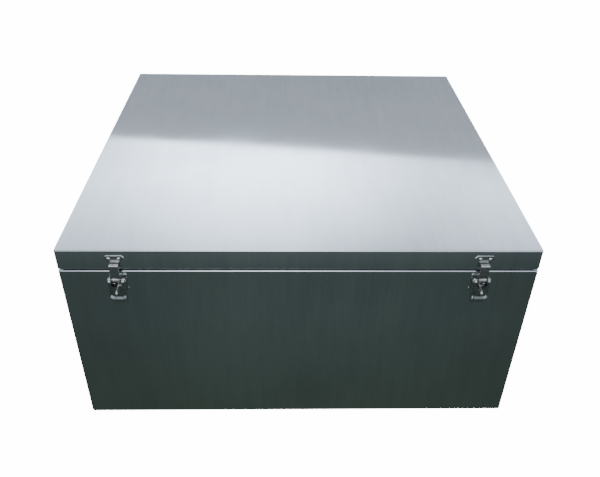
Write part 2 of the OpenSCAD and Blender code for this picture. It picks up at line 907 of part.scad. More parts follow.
// Keeper: a winged plate whose neck folds out and up into a lip
module keeper() {
    lip_c = lip_out + latch_t / 2;
    bend_gap = 0.2;
    bend = lip_out / 2 - bend_gap;
    lip_h = 6;
    low = lip_z - lip_h;
    head = lip_z + keeper_head;
    head_slant = 3.5;
    head_r = 1.5;
    wing_r = 1.2;
    neck_rise = 0.6;
    neck_r = 2.5;
    difference() {
        intersection() {
            across(keeper_w + past)
                folded([
                    [latch_t / 2, head + past, 0],
                    [latch_t / 2, low, bend],
                    [lip_c, low, bend],
                    [lip_c, lip_z, 0]
                ], latch_t);
            outward(-past, reach)
                polygon(rounded([
                    [-keeper_w / 2 + head_slant, head, head_r],
                    [-keeper_w / 2, head - head_slant, wing_r],
                    [-claw_w / 2, lip_z + neck_rise, neck_r],
                    [-claw_w / 2, low - reach, 0],
                    [claw_w / 2, low - reach, 0],
                    [claw_w / 2, lip_z + neck_rise, neck_r],
                    [keeper_w / 2, head - head_slant, wing_r],
                    [keeper_w / 2 - head_slant, head, head_r]
                ]));
        }
        for (s = sides)
            translate([s * keeper_rivet_x, -latch_t, keeper_rivet_z])
                rotate([90, 0, 0]) rivet_hole(latch_t);
    }
}

// Place of the inner face of a pin's heads, just outside the lever's flanges
pin_half = flange_x + link_t / 2 + pin_fit;

module lever_pin() {
    cross_pin(pivot_r, pivot_out, pivot_z, pin_half, pivot_head_r, pivot_head_h);
}

module link_pin() {
    cross_pin(link_pin_r, link_pin_out, link_pin_z, pin_half, pin_head_r, pin_head_h);
}

module base_rivet_set() {
    for (r = base_rivets)
        translate([r[0], -r[2], r[1]]) rotate([90, 0, 0]) rivet(r[2] + sheet_t);
}

module keeper_rivet_set() {
    for (s = sides)
        translate([s * keeper_rivet_x, -latch_t, keeper_rivet_z])
            rotate([90, 0, 0]) rivet(latch_t + sheet_t);
}

// One piece of a latch: side is -1 for the left latch and +1 for the right one
module latch_piece(side, finish) {
    color(finish) translate([side * latch_x, front_y, 0]) children();
}

case_shell();
base_pan();
liner();
insulation_front();
insulation_back();
insulation_left();
insulation_right();
insulation_base();
rim_rivets();
hinge_leaf_case();
hinge_rivets_case();
hinge_pin();
lid_pan();
lid_liner();
lid_insulation();
lid_seal();
lid_rivets();
hinge_leaf_lid();
hinge_rivets_lid();
latch_piece(-1, "silver") latch_base();  // latch_base_left
latch_piece(-1, "white") base_rivet_set();  // base_rivets_left
latch_piece(-1, "gainsboro") staple();  // staple_left
latch_piece(-1, "white") lever_pin();  // lever_pin_left
latch_piece(-1, "lightgray") lever();  // lever_left
latch_piece(-1, "white") link_pin();  // link_pin_left
latch_piece(-1, "silver") link();  // link_left
latch_piece(-1, "silver") keeper();  // keeper_left
latch_piece(-1, "white") keeper_rivet_set();  // keeper_rivets_left
latch_piece(1, "silver") latch_base();  // latch_base_right
latch_piece(1, "white") base_rivet_set();  // base_rivets_right
latch_piece(1, "gainsboro") staple();  // staple_right
latch_piece(1, "white") lever_pin();  // lever_pin_right
latch_piece(1, "lightgray") lever();  // lever_right
latch_piece(1, "white") link_pin();  // link_pin_right
latch_piece(1, "silver") link();  // link_right
latch_piece(1, "silver") keeper();  // keeper_right
latch_piece(1, "white") keeper_rivet_set();  // keeper_rivets_right
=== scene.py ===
"""Finishes, fine parts and studio for an insulated milk delivery box of folded sheet steel.

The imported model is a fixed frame. The folded sheets, the boards, the hinge and all rivets keep
their own meshes and get their finishes here. The stamped latch parts, their pins and the lid's
rubber seal are modelled again in the same places, because rounded edges catch the light.
"""

import json
import logging
import math
from dataclasses import dataclass
from enum import Enum

import bpy
from mathutils import Matrix, Vector


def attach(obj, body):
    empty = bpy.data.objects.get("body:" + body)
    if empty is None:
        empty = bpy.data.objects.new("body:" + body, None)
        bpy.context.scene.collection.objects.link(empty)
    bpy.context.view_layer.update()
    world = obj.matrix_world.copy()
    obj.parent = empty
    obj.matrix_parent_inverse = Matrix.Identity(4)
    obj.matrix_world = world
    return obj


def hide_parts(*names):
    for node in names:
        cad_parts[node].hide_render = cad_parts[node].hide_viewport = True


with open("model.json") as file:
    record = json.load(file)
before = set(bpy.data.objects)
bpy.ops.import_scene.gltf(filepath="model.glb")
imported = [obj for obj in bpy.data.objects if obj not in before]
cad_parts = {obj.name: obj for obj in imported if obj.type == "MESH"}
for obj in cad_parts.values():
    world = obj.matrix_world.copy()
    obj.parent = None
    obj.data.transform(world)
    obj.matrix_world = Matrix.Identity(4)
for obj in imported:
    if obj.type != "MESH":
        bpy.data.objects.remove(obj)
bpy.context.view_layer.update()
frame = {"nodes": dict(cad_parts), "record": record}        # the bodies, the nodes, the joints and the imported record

MM = 0.001
LOG = logging.getLogger("milk_box")

Triple = tuple[float, float, float]
Colour = Triple
Span = tuple[float, float]
Socket = bpy.types.NodeSocket

# Nearly all values of a noise lie in the first span, and those of cells fill the second
NOISE_SPAN: Span = (0.3, 0.7)
WHOLE_SPAN: Span = (0.0, 1.0)


class Grain(Enum):
    """How the rolling marks of a sheet run over its faces."""

    ROLLED = "front to back on flat faces, upright on walls"
    NONE = "no rolling marks"


class Side(Enum):
    """The two toggle latches, named as seen from the front."""

    LEFT = "left"
    RIGHT = "right"


class Mixed(Enum):
    """What a mix node mixes: its data type, and the type of the sockets that it then uses."""

    COLOURS = ("RGBA", "RGBA")
    NUMBERS = ("FLOAT", "VALUE")


@dataclass(frozen=True)
class Cloud:
    """One cloudy noise pattern.

    Attributes:
        size: Rough width of one patch in metres.
        detail: Number of finer layers.
        roughness: Weight of the finer layers.
        stretch: What the coordinates are multiplied by. Less than 1 draws the patches out.
    """

    size: float
    detail: float = 3.0
    roughness: float = 0.5
    stretch: Triple | None = None


class Shader:
    """The node tree of one material, with a short call for each kind of pattern."""

    SIDE_COSINE = 0.7

    def __init__(self, name: str) -> None:
        """Makes an empty surface material.

        Args:
            name: Name of the material.
        """
        self.material = bpy.data.materials.new(name)
        self.material.use_nodes = True
        self.tree = self.material.node_tree
        self.surface = self.tree.nodes["Principled BSDF"]
        self.place = self.add("ShaderNodeTexCoord").outputs["Object"]

    @classmethod
    def around(cls, world: bpy.types.World) -> "Shader":
        """Opens the node tree of a world, where a place is the direction that is looked at.

        Args:
            world: The world.

        Returns:
            Its shader.
        """
        shader = cls.__new__(cls)
        world.use_nodes = True
        shader.tree = world.node_tree
        shader.place = shader.add("ShaderNodeTexCoord").outputs["Generated"]
        return shader

    def add(self, kind: str, **settings: object) -> bpy.types.Node:
        """Adds a node.

        Args:
            kind: Type name of the node.
            settings: Properties of the node and their values.

        Returns:
            The new node.
        """
        node = self.tree.nodes.new(kind)
        for key, value in settings.items():
            setattr(node, key, value)
        return node

    def feed(self, socket: Socket, value: object) -> None:
        """Sets an input to a number or colour, or joins another node's output to it.

        Args:
            socket: The input.
            value: A number, a colour or an output.
        """
        if isinstance(value, Socket):
            self.tree.links.new(value, socket)
        elif socket.type == "RGBA":
            socket.default_value = (*value, 1.0)
        else:
            socket.default_value = value

    def split(self, vector: Socket) -> bpy.types.NodeOutputs:
        """Splits a vector.

        Args:
            vector: The vector.

        Returns:
            Outputs named X, Y and Z.
        """
        node = self.add("ShaderNodeSeparateXYZ")
        self.feed(node.inputs["Vector"], vector)
        return node.outputs

    def stretched(self, stretch: Triple) -> Socket:
        """Multiplies the coordinates.

        Args:
            stretch: A number for each axis.

        Returns:
            The new coordinates.
        """
        node = self.add("ShaderNodeMapping")
        self.feed(node.inputs["Vector"], self.place)
        self.feed(node.inputs["Scale"], stretch)
        return node.outputs["Vector"]

    def noise(self, cloud: Cloud) -> Socket:
        """Makes cloudy noise.

        Args:
            cloud: The pattern.

        Returns:
            The noise value.
        """
        node = self.add("ShaderNodeTexNoise")
        vector = self.stretched(cloud.stretch) if cloud.stretch else self.place
        self.feed(node.inputs["Vector"], vector)
        self.feed(node.inputs["Scale"], 1.0 / cloud.size)
        self.feed(node.inputs["Detail"], cloud.detail)
        self.feed(node.inputs["Roughness"], cloud.roughness)
        return node.outputs["Fac"]

    def cells(self, size: float) -> Socket:
        """Makes a value that changes from one irregular cell to the next.

        Args:
            size: Rough width of one cell in metres.

        Returns:
            A value between 0 and 1 for each cell.
        """
        node = self.add("ShaderNodeTexVoronoi")
        self.feed(node.inputs["Vector"], self.place)
        self.feed(node.inputs["Scale"], 1.0 / size)
        split = self.add("ShaderNodeSeparateColor")
        self.feed(split.inputs["Color"], node.outputs["Color"])
        return split.outputs["Red"]

    def remap(self, value: Socket, onto: Span, span: Span = NOISE_SPAN, soft: bool = False) -> Socket:
        """Carries a value from one span onto another.

        Args:
            value: The value.
            onto: Results at the two ends of its span, and beyond them.
            span: The two ends of its span.
            soft: Whether the result eases in and out.

        Returns:
            The clamped result.
        """
        node = self.add("ShaderNodeMapRange", interpolation_type="SMOOTHSTEP" if soft else "LINEAR")
        self.feed(node.inputs["Value"], value)
        for name, number in zip(("From Min", "From Max", "To Min", "To Max"), (*span, *onto)):
            self.feed(node.inputs[name], number)
        return node.outputs["Result"]

    def math(self, operation: str, first: object, second: object = 0.0) -> Socket:
        """Joins two values by an arithmetic operation.

        Args:
            operation: Blender's name of the operation.
            first: A number or an output.
            second: A number or an output, unused where the operation takes only one.

        Returns:
            The result.
        """
        node = self.add("ShaderNodeMath", operation=operation)
        self.feed(node.inputs[0], first)
        self.feed(node.inputs[1], second)
        return node.outputs["Value"]

    def total(self, first: Socket, *others: Socket) -> Socket:
        """Adds values up.

        Args:
            first: The first value.
            others: The values to add to it.

        Returns:
            Their sum.
        """
        for value in others:
            first = self.math("ADD", first, value)
        return first

    def mix(self, share: object, first: object, second: object, kind: Mixed = Mixed.COLOURS) -> Socket:
        """Mixes two colours or two numbers.

        Args:
            share: Share of the second one.
            first: A colour, a number or an output.
            second: A colour, a number or an output.
            kind: What is mixed.

        Returns:
            The mixture.
        """
        data_type, socket_type = kind.value
        node = self.add("ShaderNodeMix", data_type=data_type)
        self.feed(node.inputs["Factor"], share)
        ends = [socket for socket in node.inputs if socket.type == socket_type][-2:]
        for socket, value in zip(ends, (first, second)):
            self.feed(socket, value)
        return next(socket for socket in node.outputs if socket.type == socket_type)

    def on_sides(self, sides: Socket, rest: Socket) -> Socket:
        """Keeps one value for faces that look left or right, and another for the rest.

        Args:
            sides: The value on faces that look left or right.
            rest: The value on all other faces.

        Returns:
            The chosen value.
        """
        aside = self.math("ABSOLUTE", self.split(self.add("ShaderNodeNewGeometry").outputs["Normal"])["X"])
        return self.mix(self.math("GREATER_THAN", aside, self.SIDE_COSINE), rest, sides, Mixed.NUMBERS)

    def bump(self, height: Socket, depth: float, under: Socket | None = None) -> Socket:
        """Makes relief from a height value.

        Args:
            height: Height between 0 and 1.
            depth: Real depth of the full height in metres.
            under: Normal of a coarser relief that this one lies on.

        Returns:
            The bumped normal.
        """
        node = self.add("ShaderNodeBump")
        self.feed(node.inputs["Distance"], depth)
        self.feed(node.inputs["Height"], height)
        if under is not None:
            self.feed(node.inputs["Normal"], under)
        return node.outputs["Normal"]

    def finish(self, **sockets: object) -> bpy.types.Material:
        """Feeds the surface's sockets.

        Args:
            sockets: Socket names, with underscores for spaces, and their values.

        Returns:
            The finished material.
        """
        for name, value in sockets.items():
            self.feed(self.surface.inputs[name.replace("_", " ")], value)
        return self.material


@dataclass(frozen=True)
class SheetSteel:
    """Satin rolled sheet steel with soft mottling, smudges and slightly uneven flat faces.

    A tone is a share of the dark colour. What a pattern adds to the tone or to the roughness is
    given for its lowest and its highest values. Sizes and depths are in metres.
    """

    name: str
    light: Colour
    dark: Colour
    roughness: Span
    grain: Grain = Grain.ROLLED
    mottle: Cloud = Cloud(0.09, 5.0, 0.62)
    mottle_tone: Span = (0.0, 0.7)
    smudge: Cloud = Cloud(0.32, 2.0, 0.5)
    smudge_tone: Span = (-0.15, 0.3)
    smudge_tone_span: Span = (0.40, 0.66)
    smudge_roughness: Span = (-0.008, 0.014)
    smudge_roughness_span: Span = (0.42, 0.62)
    streaks: Cloud = Cloud(0.012, 4.0, 0.6, (1.0, 0.1, 0.1))
    streak_tone: Span = (-0.3, 0.3)
    streak_roughness: Span = (-0.006, 0.008)
    mark_pitch: float = 0.0011
    mark_stretch: float = 0.012
    mark_depth: float = 0.000004
    mark_tone: Span = (-0.18, 0.18)
    mark_roughness: Span = (-0.006, 0.008)
    pores: Cloud = Cloud(0.0028, 3.0, 0.6)
    pore_depth: float = 0.000006
    waves: Cloud = Cloud(0.42, 1.0, 0.4)
    wave_depth: float = 0.0010
    spangle_size: float = 0.0
    spangle_tone: Span = (-0.35, 0.35)
    spangle_roughness: Span = (-0.05, 0.07)

    def rolling_marks(self, shader: Shader) -> Socket:
        """Makes fine lines, front to back on flat faces and upright on the walls.

        Args:
            shader: The material's shader.

        Returns:
            The height of the lines.
        """
        drawn = self.mark_stretch
        flat, sides = (
            shader.noise(Cloud(self.mark_pitch, detail=2.0, roughness=0.6, stretch=stretch))
            for stretch in ((1.0, drawn, drawn), (drawn, 1.0, drawn))
        )
        return shader.on_sides(sides, flat)

    def make(self) -> bpy.types.Material:
        """Builds the material.

        Returns:
            The finished material.
        """
        shader = Shader(self.name)
        mottle = shader.noise(self.mottle)
        smudge = shader.noise(self.smudge)
        streaks = shader.noise(self.streaks)
        tone = shader.total(
            shader.remap(mottle, self.mottle_tone),
            shader.remap(streaks, self.streak_tone),
            shader.remap(smudge, self.smudge_tone, self.smudge_tone_span),
        )
        roughness = shader.total(
            shader.remap(mottle, self.roughness),
            shader.remap(smudge, self.smudge_roughness, self.smudge_roughness_span),
            shader.remap(streaks, self.streak_roughness),
        )
        relief = shader.bump(shader.noise(self.waves), self.wave_depth)
        relief = shader.bump(shader.noise(self.pores), self.pore_depth, relief)
        if self.grain is Grain.ROLLED:
            marks = self.rolling_marks(shader)
            relief = shader.bump(marks, self.mark_depth, relief)
            tone = shader.total(tone, shader.remap(marks, self.mark_tone))
            roughness = shader.total(roughness, shader.remap(marks, self.mark_roughness))
        if self.spangle_size > 0:
            spangle = shader.cells(self.spangle_size)
            tone = shader.total(tone, shader.remap(spangle, self.spangle_tone, WHOLE_SPAN))
            roughness = shader.total(
                roughness, shader.remap(spangle, self.spangle_roughness, WHOLE_SPAN)
            )
        return shader.finish(
            Base_Color=shader.mix(tone, self.light, self.dark),
            Metallic=1.0,
            Roughness=roughness,
            Normal=relief,
        )


@dataclass(frozen=True)
class PlatedSteel:
    """Bright plated steel of stamped fittings, with stains and handling marks.

    Tones, roughness, sizes and depths are given as for sheet steel.
    """

    name: str
    light: Colour
    dark: Colour
    roughness: Span
    stains: Cloud = Cloud(0.006, 4.0, 0.6)
    scratches: Cloud = Cloud(0.0004, 3.0, 0.7, (1.0, 0.06, 0.3))
    scratch_depth: float = 0.0000012
    scratch_roughness: Span = (-0.02, 0.05)
    dents: Cloud = Cloud(0.004, 1.0, 0.4)
    dent_depth: float = 0.000003

    def make(self) -> bpy.types.Material:
        """Builds the material.

        Returns:
            The finished material.
        """
        shader = Shader(self.name)
        stains = shader.noise(self.stains)
        scratches = shader.noise(self.scratches)
        relief = shader.bump(shader.noise(self.dents), self.dent_depth)
        return shader.finish(
            Base_Color=shader.mix(shader.remap(stains, WHOLE_SPAN), self.light, self.dark),
            Metallic=1.0,
            Roughness=shader.total(
                shader.remap(stains, self.roughness),
                shader.remap(scratches, self.scratch_roughness),
            ),
            Normal=shader.bump(scratches, self.scratch_depth, relief),
        )


@dataclass(frozen=True)
class Rubber:
    """Dull black rubber with fine pores and a little pale dust."""

    name: str
    fresh: Colour = (0.018, 0.018, 0.019)
    dusty: Colour = (0.085, 0.082, 0.075)
    dust: Cloud = Cloud(0.03, 5.0, 0.7)
    dust_tone: Span = (0.0, 0.6)
    dust_tone_span: Span = (0.45, 0.75)
    roughness: Span = (0.62, 0.85)
    pores: Cloud = Cloud(0.0005, 3.0, 0.7)
    pore_depth: float = 0.00005
    specular: float = 0.35

    def make(self) -> bpy.types.Material:
        """Builds the material.

        Returns:
            The finished material.
        """
        shader = Shader(self.name)
        dust = shader.noise(self.dust)
        tone = shader.remap(dust, self.dust_tone, self.dust_tone_span)
        return shader.finish(
            Base_Color=shader.mix(tone, self.fresh, self.dusty),
            Roughness=shader.remap(dust, self.roughness),
            Normal=shader.bump(shader.noise(self.pores), self.pore_depth),
            Specular_IOR_Level=self.specular,
        )


@dataclass(frozen=True)
class Foam:
    """Pale foam board of pressed beads."""

    name: str
    light: Colour = (0.80, 0.76, 0.64)
    dark: Colour = (0.62, 0.56, 0.43)
    age: Cloud = Cloud(0.12, 4.0, 0.6)
    age_tone: Span = (0.0, 0.7)
    bead_size: float = 0.004
    bead_tone: Span = (-0.15, 0.15)
    bead_roughness: Span = (0.8, 0.95)
    bead_depth: float = 0.0002

    def make(self) -> bpy.types.Material:
        """Builds the material.

        Returns:
            The finished material.
        """
        shader = Shader(self.name)
        beads = shader.cells(self.bead_size)
        tone = shader.total(
            shader.remap(shader.noise(self.age), self.age_tone),
            shader.remap(beads, self.bead_tone, WHOLE_SPAN),
        )
        return shader.finish(
            Base_Color=shader.mix(tone, self.light, self.dark),
            Roughness=shader.remap(beads, self.bead_roughness, WHOLE_SPAN),
            Normal=shader.bump(beads, self.bead_depth),
        )


class Finishes:
    """All materials of the box, each named after the record's slot that it fills."""

    ALL = (
        SheetSteel(
            "outer_steel",
            light=(0.80, 0.825, 0.83),
            dark=(0.69, 0.72, 0.735),
            roughness=(0.046, 0.070),
        ),
        SheetSteel(
            "base_steel",
            light=(0.62, 0.64, 0.64),
            dark=(0.40, 0.42, 0.42),
            roughness=(0.32, 0.48),
            grain=Grain.NONE,
            spangle_size=0.012,
        ),
        SheetSteel(
            "liner_steel",
            light=(0.74, 0.755, 0.755),
            dark=(0.60, 0.62, 0.625),
            roughness=(0.26, 0.38),
            grain=Grain.NONE,
            spangle_size=0.014,
        ),
        PlatedSteel(
            "hinge_steel", light=(0.70, 0.70, 0.68), dark=(0.46, 0.46, 0.44), roughness=(0.20, 0.32)
        ),
        PlatedSteel(
            "latch_steel", light=(0.74, 0.73, 0.71), dark=(0.48, 0.47, 0.45), roughness=(0.11, 0.20)
        ),
        # The lever's plated steel is darker than that of the other fittings as painted shade: the darker colours stand
        # in for the dark surroundings that the lever's faces reflect.
        PlatedSteel(
            "lever_steel", light=(0.62, 0.63, 0.62), dark=(0.38, 0.39, 0.38), roughness=(0.10, 0.18)
        ),
        PlatedSteel(
            "rivet_steel", light=(0.88, 0.87, 0.85), dark=(0.60, 0.59, 0.57), roughness=(0.10, 0.20)
        ),
        Rubber("seal_rubber"),
        Foam("foam"),
    )

    def __init__(self) -> None:
        """Makes the materials, and looks up each node's slot and body."""
        record = frame["record"]
        self.by_slot: dict[str, bpy.types.Material] = {
            finish.name: finish.make() for finish in self.ALL
        }
        self.slot_of: dict[str, str] = {
            entry["node"]: entry["material_slot"] for entry in record["subparts"]
        }
        self.body_of: dict[str, str] = {
            node: body for body, nodes in record["behaviour"]["bodies"].items() for node in nodes
        }

    def dress(self, *nodes: str) -> None:
        """Gives CAD nodes the finish of their own slot.

        Args:
            nodes: Names of the nodes.
        """
        for name in nodes:
            piece = frame["nodes"][name]
            piece.data.materials.clear()
            piece.data.materials.append(self.by_slot[self.slot_of[name]])
            LOG.info("finish %s on %s", self.slot_of[name], name)

    def adopt(self, piece: bpy.types.Object, node: str) -> None:
        """Makes a new piece stand for a CAD node, on its body and with its finish.

        Args:
            piece: The new piece, with its place in its mesh.
            node: Name of the node that it replaces.
        """
        piece.data.materials.clear()
        piece.data.materials.append(self.by_slot[self.slot_of[node]])
        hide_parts(node)
        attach(piece, self.body_of[node])
        LOG.info("piece %s stands for %s", piece.name, node)


class Bench:
    """Modelling steps that several sub-assemblies share."""

    MERGE_DISTANCE = 0.002 * MM
    FLAT_ANGLE = math.radians(1.0)
    SHARP_ANGLE = math.radians(38)
    SMOOTH_ANGLE = math.radians(32)
    ROUNDING_FACES = 2
    FACING_COSINE = 0.95

    @staticmethod
    def hold(piece: bpy.types.Object) -> None:
        """Selects one piece alone and makes it active.

        Args:
            piece: The piece.
        """
        bpy.ops.object.select_all(action="DESELECT")
        piece.select_set(True)
        bpy.context.view_layer.objects.active = piece

    @staticmethod
    def merged_copy(node: str, name: str) -> bpy.types.Object:
        """Copies a CAD node and joins its loose triangles into whole faces.

        Args:
            node: Name of the node.
            name: Name of the copy.

        Returns:
            The copy, with its place in its mesh.
        """
        source = frame["nodes"][node]
        piece = bpy.data.objects.new(name, source.data.copy())
        bpy.context.scene.collection.objects.link(piece)
        Bench.hold(piece)
        bpy.ops.mesh.customdata_custom_splitnormals_clear()
        bpy.ops.object.mode_set(mode="EDIT")
        bpy.ops.mesh.select_all(action="SELECT")
        bpy.ops.mesh.remove_doubles(threshold=Bench.MERGE_DISTANCE)
        bpy.ops.mesh.dissolve_limited(angle_limit=Bench.FLAT_ANGLE)
        bpy.ops.object.mode_set(mode="OBJECT")
        return piece

    @staticmethod
    def soften(piece: bpy.types.Object, width: float) -> None:
        """Rounds the sharp edges of a piece, and shades its flat faces as flat.

        Args:
            piece: The piece.
            width: Width of the rounding in metres.
        """
        Bench.hold(piece)
        bevel = piece.modifiers.new("rounded edges", "BEVEL")
        bevel.width = width
        bevel.segments = Bench.ROUNDING_FACES
        bevel.limit_method = "ANGLE"
        bevel.angle_limit = Bench.SHARP_ANGLE
        bevel.use_clamp_overlap = True
        bpy.ops.object.modifier_apply(modifier=bevel.name)
        bpy.ops.object.shade_smooth_by_angle(angle=Bench.SMOOTH_ANGLE)
        flat = piece.modifiers.new("flat faces", "WEIGHTED_NORMAL")
        flat.keep_sharp = True
        bpy.ops.object.modifier_apply(modifier=flat.name)

    @staticmethod
    def select_faces(piece: bpy.types.Object, towards: Vector) -> None:
        """Selects the faces that look in one direction, and enters edit mode.

        Args:
            piece: The piece.
            towards: The direction.
        """
        Bench.hold(piece)
        bpy.ops.object.mode_set(mode="EDIT")
        bpy.ops.mesh.select_all(action="DESELECT")
        bpy.ops.mesh.select_mode(type="FACE")
        bpy.ops.object.mode_set(mode="OBJECT")
        for face in piece.data.polygons:
            face.select = face.normal.dot(towards) > Bench.FACING_COSINE
        bpy.ops.object.mode_set(mode="EDIT")


@dataclass
class CaseBody:
    """The double walled case: outer shell, base sheet, liner, boards and rim rivets."""

    finishes: Finishes

    def build(self) -> None:
        """Dresses the case's own pieces."""
        boards = [name for name in frame["nodes"] if name.startswith("insulation_")]
        self.finishes.dress("case_shell", "base_pan", "liner", "rim_rivets", *boards)


@dataclass
class PlugLid:
    """The lid with its plug tray and its ribbed rubber seal."""

    finishes: Finishes
    lip_width: float = 2.3 * MM
    groove_depth: float = 0.6 * MM
    rib_inset: float = 1.5 * MM
    rib_height: float = 0.5 * MM
    seal_edge: float = 0.18 * MM

    def seal(self) -> None:
        """Models the seal, with a lip along each edge and a rib between two grooves."""
        piece = Bench.merged_copy("lid_seal", "ribbed_seal")
        Bench.select_faces(piece, Vector((0, 0, -1)))
        bpy.ops.mesh.inset(thickness=self.lip_width, use_even_offset=True)
        bpy.ops.transform.translate(value=(0, 0, self.groove_depth))
        bpy.ops.mesh.inset(thickness=self.rib_inset, use_even_offset=True)
        bpy.ops.transform.translate(value=(0, 0, -self.rib_height))
        bpy.ops.object.mode_set(mode="OBJECT")
        Bench.soften(piece, self.seal_edge)
        self.finishes.adopt(piece, "lid_seal")

    def build(self) -> None:
        """Dresses the lid and adds its seal."""
        self.finishes.dress("lid_pan", "lid_liner", "lid_insulation", "lid_rivets")
        self.seal()


@dataclass
class RolledHinge:
    """The long hinge: two leaves with rolled knuckles, a pin and two rows of rivets."""

    finishes: Finishes

    def build(self) -> None:
        """Dresses the hinge's pieces."""
        self.finishes.dress(
            "hinge_leaf_case", "hinge_leaf_lid", "hinge_pin",
            "hinge_rivets_case", "hinge_rivets_lid",
        )


@dataclass
class ToggleLatch:
    """One over-centre toggle latch, with the edges of its stamped parts and pins rounded."""

    finishes: Finishes
    side: Side
    sheet_edge: float = 0.16 * MM
    pin_edge: float = 0.12 * MM

    def refine(self, part: str, edge: float) -> None:
        """Replaces one part by a copy whose edges are rounded.

        Args:
            part: Name of the part without its side.
            edge: Width of the rounding in metres.
        """
        node = f"{part}_{self.side.value}"
        piece = Bench.merged_copy(node, f"{node}_rounded")
        Bench.soften(piece, edge)
        self.finishes.adopt(piece, node)

    def build(self) -> None:
        """Models each stamped part and each pin again, and dresses the rivets."""
        for part in ("latch_base", "staple", "lever", "link", "keeper"):
            self.refine(part, self.sheet_edge)
        for part in ("lever_pin", "link_pin"):
            self.refine(part, self.pin_edge)
        self.finishes.dress(f"base_rivets_{self.side.value}", f"keeper_rivets_{self.side.value}")


@dataclass(frozen=True)
class Viewpoint:
    """The camera, fitted to the corners of the box in a picture 600 wide and 477 high.

    Attributes:
        place: Where it stands.
        pitch: Degrees that it looks down.
        turn: Degrees that it looks to the right.
        roll: Degrees that its right side is raised.
        focal_pixels: Focal length in pixels of the picture.
        picture_width: Width of the picture in pixels.
        centre_drop: Pixels from the picture's middle down to its optical centre.
        sensor: Width of the sensor in the camera's own units.
        near: Nearest distance that it sees.
        far: Farthest distance that it sees.
    """

    place: Vector = Vector((-22.53 * MM, -949.53 * MM, 745.76 * MM))
    pitch: float = 36.06
    turn: float = 1.89
    roll: float = 1.17
    focal_pixels: float = 656.67
    picture_width: float = 600.0
    centre_drop: float = 24.1
    sensor: float = 36.0
    near: float = 0.01
    far: float = 100.0

    def build(self) -> None:
        """Adds the camera and makes it the scene's own."""
        down, turn, roll = (math.radians(angle) for angle in (self.pitch, self.turn, self.roll))
        ahead = Vector(
            (math.sin(turn) * math.cos(down), math.cos(turn) * math.cos(down), -math.sin(down))
        )
        level = Vector((math.cos(turn), -math.sin(turn), 0.0))
        upright = level.cross(ahead)
        right = level * math.cos(roll) + upright * math.sin(roll)
        upper = upright * math.cos(roll) - level * math.sin(roll)
        data = bpy.data.cameras.new("camera")
        data.sensor_width = self.sensor
        data.lens = self.focal_pixels / self.picture_width * self.sensor
        data.shift_y = self.centre_drop / self.picture_width
        data.clip_start = self.near
        data.clip_end = self.far
        camera = bpy.data.objects.new("camera", data)
        axes = Matrix((right, upper, -ahead)).transposed().to_4x4()
        camera.matrix_world = Matrix.Translation(self.place) @ axes
        bpy.context.scene.collection.objects.link(camera)
        bpy.context.scene.camera = camera


